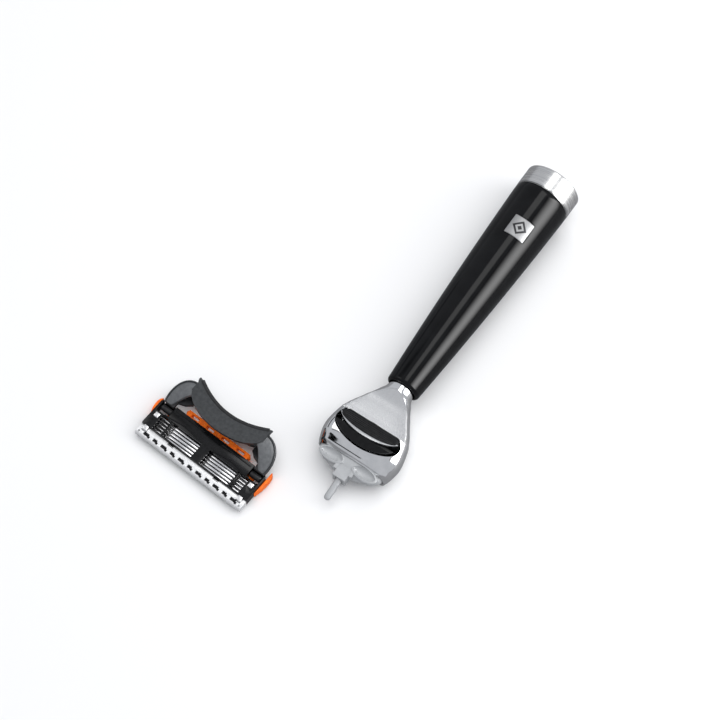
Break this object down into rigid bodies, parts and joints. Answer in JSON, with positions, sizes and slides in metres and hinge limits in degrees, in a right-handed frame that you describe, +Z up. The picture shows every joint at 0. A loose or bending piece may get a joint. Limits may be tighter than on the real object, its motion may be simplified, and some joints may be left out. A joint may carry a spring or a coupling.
{
  "type": "cartridge razor",
  "caption": "Safety razor in two parts: a weighted handle with a push-forward eject button, and beside it the multi-blade cartridge with its docking yoke.",
  "frame": {"origin": "middle of the bounding box at table height", "axes": "+Y along the handle from the head to the end cap, +Z up from the table, +X from the loose cartridge towards the handle"},
  "size_m": [0.0754, 0.1448, 0.0189],
  "materials": {
    "resin": "polished black cast resin",
    "satin_steel": "satin stainless steel",
    "chrome": "polished chrome plate with a satin thumb scoop",
    "zinc_grey": "silver-grey moulded plastic",
    "button_black": "satin black moulded plastic",
    "pad_rubber": "matt black ribbed elastomer",
    "rim_silver": "satin silver paint",
    "inner_black": "plain black moulded plastic",
    "seal_rubber": "matt black rubber",
    "spring_steel": "bright drawn wire",
    "housing_black": "fine-textured black moulded plastic",
    "blade_steel": "bright ground steel strip",
    "carrier_silver": "bright silver",
    "clip_aluminium": "bright rolled aluminium",
    "guard_orange": "soft orange elastomer",
    "strip_gel": "waxy pale green polymer",
    "yoke_grey": "satin dark grey moulded plastic"
  },
  "bodies": {
    "handle": {"grip_barrel": "resin", "badge_plate": "satin_steel", "end_cap": "satin_steel", "cap_seal": "seal_rubber", "neck_seal": "seal_rubber", "tie_rod": "spring_steel", "head_shell": "chrome", "docking_frame": "zinc_grey", "plunger_spring": "spring_steel"},
    "ejector": {"eject_button": "button_black", "button_pad": "pad_rubber", "button_rim": "rim_silver", "ejector_pusher": "inner_black"},
    "plunger": {"plunger": "zinc_grey"},
    "yoke": {"yoke": "yoke_grey"},
    "blade_unit": {"housing_frame": "housing_black", "trimmer_carrier": "carrier_silver", "trimmer_blade": "blade_steel", "lubricating_strip": "strip_gel", "guard_strip": "guard_orange", "guard_wing_left": "guard_orange", "guard_wing_right": "guard_orange", "clip_left": "clip_aluminium", "clip_right": "clip_aluminium"},
    "blade_1": {"blade_support_1": "blade_steel", "blade_edge_1": "blade_steel"},
    "blade_2": {"blade_support_2": "blade_steel", "blade_edge_2": "blade_steel"},
    "blade_3": {"blade_support_3": "blade_steel", "blade_edge_3": "blade_steel"},
    "blade_4": {"blade_support_4": "blade_steel", "blade_edge_4": "blade_steel"},
    "blade_5": {"blade_support_5": "blade_steel", "blade_edge_5": "blade_steel"}
  },
  "joints": [
    {"name": "eject_slide", "type": "slide", "parent": "handle", "child": "ejector", "axis": [0, -0.9781, -0.2079], "range_m": [0, 0.003], "stiffness_N_per_m": 900, "springref_m": -0.0008},
    {"name": "plunger_slide", "type": "slide", "parent": "handle", "child": "plunger", "axis": [0, 0.9781, 0.2079], "range_m": [0, 0.0025], "stiffness_N_per_m": 500, "springref_m": -0.0015, "deforming": ["plunger_spring"]},
    {"name": "cartridge_offer", "type": "slide", "parent": "handle", "child": "yoke", "axis": [0.9687, -0.2484, 0], "range_m": [0, 0.04187]},
    {"name": "cartridge_pivot", "type": "hinge", "parent": "yoke", "child": "blade_unit", "pos_m": [-0.01562, -0.05924, 0.00301], "axis": [0.9971, -0.0767, 0], "range_deg": [-35, 10]},
    {"name": "blade_1_spring", "type": "slide", "parent": "blade_unit", "child": "blade_1", "axis": [0, 0, 1], "range_m": [0, 0.0004], "stiffness_N_per_m": 800, "springref_m": -0.0001},
    {"name": "blade_2_spring", "type": "slide", "parent": "blade_unit", "child": "blade_2", "axis": [0, 0, 1], "range_m": [0, 0.0004], "stiffness_N_per_m": 800, "springref_m": -0.0001},
    {"name": "blade_3_spring", "type": "slide", "parent": "blade_unit", "child": "blade_3", "axis": [0, 0, 1], "range_m": [0, 0.0004], "stiffness_N_per_m": 800, "springref_m": -0.0001},
    {"name": "blade_4_spring", "type": "slide", "parent": "blade_unit", "child": "blade_4", "axis": [0, 0, 1], "range_m": [0, 0.0004], "stiffness_N_per_m": 800, "springref_m": -0.0001},
    {"name": "blade_5_spring", "type": "slide", "parent": "blade_unit", "child": "blade_5", "axis": [0, 0, 1], "range_m": [0, 0.0004], "stiffness_N_per_m": 800, "springref_m": -0.0001}
  ]
}
